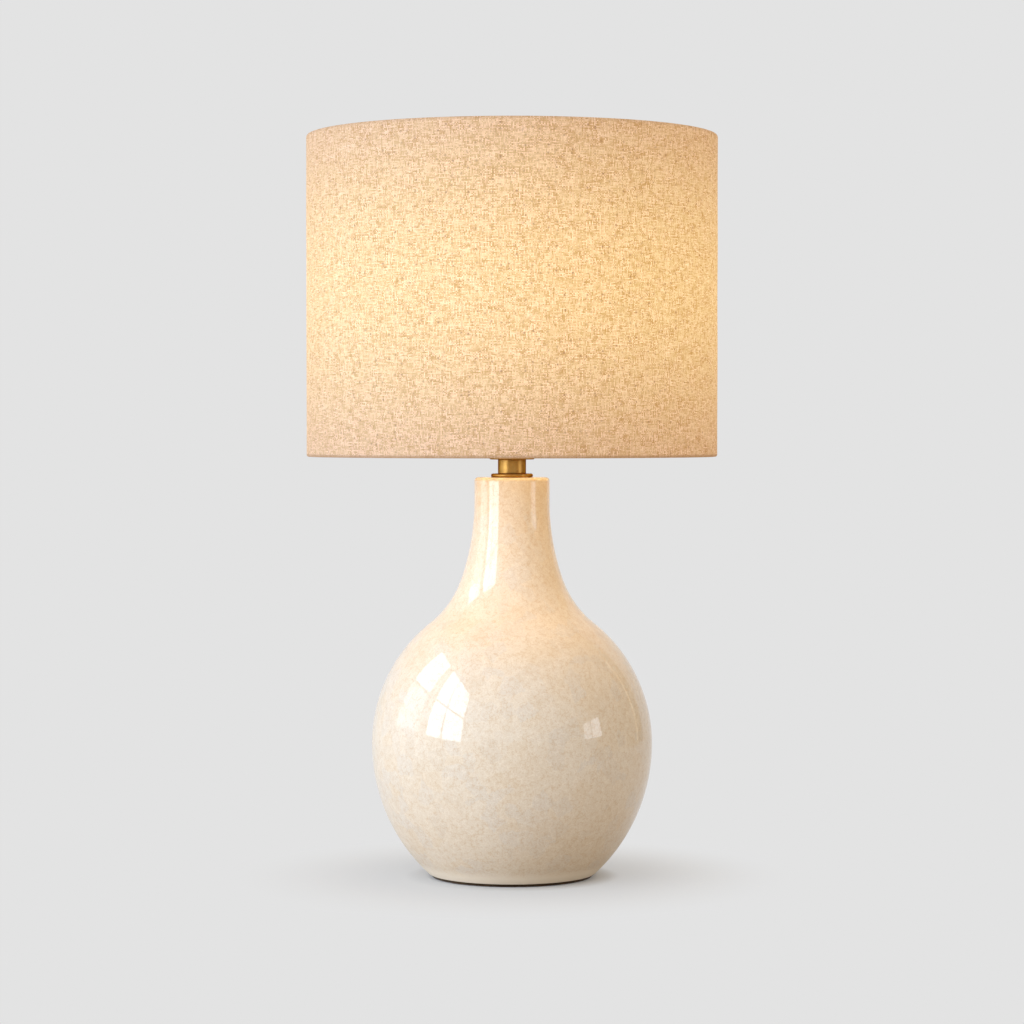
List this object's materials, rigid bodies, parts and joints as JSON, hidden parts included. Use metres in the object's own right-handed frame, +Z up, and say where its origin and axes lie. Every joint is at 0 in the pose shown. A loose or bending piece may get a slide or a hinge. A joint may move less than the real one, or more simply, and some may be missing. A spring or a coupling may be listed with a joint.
{
  "type": "table lamp",
  "caption": "Table lamp with a glazed ceramic bottle base, brass neck, harp, screw-in bulb, turn switch and linen drum shade.",
  "frame": {"origin": "middle of the underside of the foot pad, on the table", "axes": "+Z up along the lamp's axis, -Y to the front, where the switch is, and the cord inlet at the back, +Y"},
  "size_m": [0.33, 0.33, 0.6028],
  "materials": {
    "glaze": "glossy cream glaze, finely mottled",
    "felt": "dark brown felt",
    "brass": "satin, aged",
    "brass_plate": "brass plated steel, satin",
    "zinc_steel": "zinc plated",
    "contact_metal": "nickel plated",
    "aluminium_plate": "satin",
    "fibre": "vulcanised fibre",
    "dark_plastic": "moulded",
    "white_plastic": "moulded",
    "frosted_globe": "frosted diffuser",
    "linen": "plain woven slub linen",
    "liner_sheet": "white translucent sheet",
    "white_wire": "white coated wire"
  },
  "bodies": {
    "base": {"ceramic_body": "glaze", "foot_pad": "felt", "cord_bush": "dark_plastic", "lamp_nipple": "zinc_steel", "neck_gasket": "fibre", "clamp_washer": "zinc_steel", "lock_washer": "zinc_steel", "clamp_nut": "zinc_steel", "seat_ring": "brass", "neck_tube": "brass", "check_ring": "brass", "harp_saddle": "brass_plate", "socket_cap": "brass_plate", "cap_set_screw": "zinc_steel", "socket_shell": "brass_plate", "shell_liner": "fibre", "switch_block": "dark_plastic", "terminal_screws": "zinc_steel", "screw_shell": "contact_metal", "centre_contact": "contact_metal"},
    "switch": {"switch_shaft": "zinc_steel", "switch_knob": "dark_plastic"},
    "bulb_tip": {"bulb_contact": "contact_metal"},
    "bulb": {"bulb_insulator": "dark_plastic", "bulb_screw_cap": "contact_metal", "bulb_housing": "white_plastic", "bulb_light_plate": "aluminium_plate", "bulb_globe": "frosted_globe"},
    "harp": {"harp_wire": "brass_plate", "harp_stud": "brass_plate"},
    "ferrule_left": {"ferrule_left": "brass_plate"},
    "ferrule_right": {"ferrule_right": "brass_plate"},
    "shade": {"shade_cover": "linen", "shade_liner": "liner_sheet", "shade_top_ring": "white_wire", "shade_bottom_ring": "white_wire", "spider_spokes": "brass_plate", "spider_hub": "brass_plate"},
    "finial_insert": {"finial_insert": "brass"},
    "finial_knob": {"finial_knob": "brass"}
  },
  "joints": [
    {"name": "switch_turn", "type": "hinge", "parent": "base", "child": "switch", "pos_m": [0, -0.0169, 0.3711], "axis": [0, -1, 0], "continuous": true},
    {"name": "bulb_lift", "type": "slide", "parent": "base", "child": "bulb_tip", "axis": [0, 0, 1], "range_m": [0, 0.022]},
    {"name": "bulb_turn", "type": "hinge", "parent": "bulb_tip", "child": "bulb", "pos_m": [0, 0, 0.3805], "axis": [0, 0, 1], "range_deg": [0, 2160]},
    {"name": "harp_lift", "type": "slide", "parent": "base", "child": "harp", "axis": [0, 0, 1], "range_m": [0, 0.016]},
    {"name": "ferrule_left_slide", "type": "slide", "parent": "harp", "child": "ferrule_left", "axis": [0, 0, 1], "range_m": [0, 0.016]},
    {"name": "ferrule_right_slide", "type": "slide", "parent": "harp", "child": "ferrule_right", "axis": [0, 0, 1], "range_m": [0, 0.016]},
    {"name": "shade_swivel", "type": "hinge", "parent": "harp", "child": "shade", "pos_m": [0, 0, 0.58], "axis": [0, 0, 1], "continuous": true},
    {"name": "finial_lift", "type": "slide", "parent": "harp", "child": "finial_insert", "axis": [0, 0, 1], "range_m": [0, 0.0095]},
    {"name": "finial_turn", "type": "hinge", "parent": "finial_insert", "child": "finial_knob", "pos_m": [0, 0, 0.5821], "axis": [0, 0, 1], "range_deg": [0, 3600]}
  ],
  "couplings": [
    {"joint": "bulb_lift", "follows": "bulb_turn", "m_per_rad": 0.00057751},
    {"joint": "finial_lift", "follows": "finial_turn", "m_per_rad": 0.00014972}
  ]
}
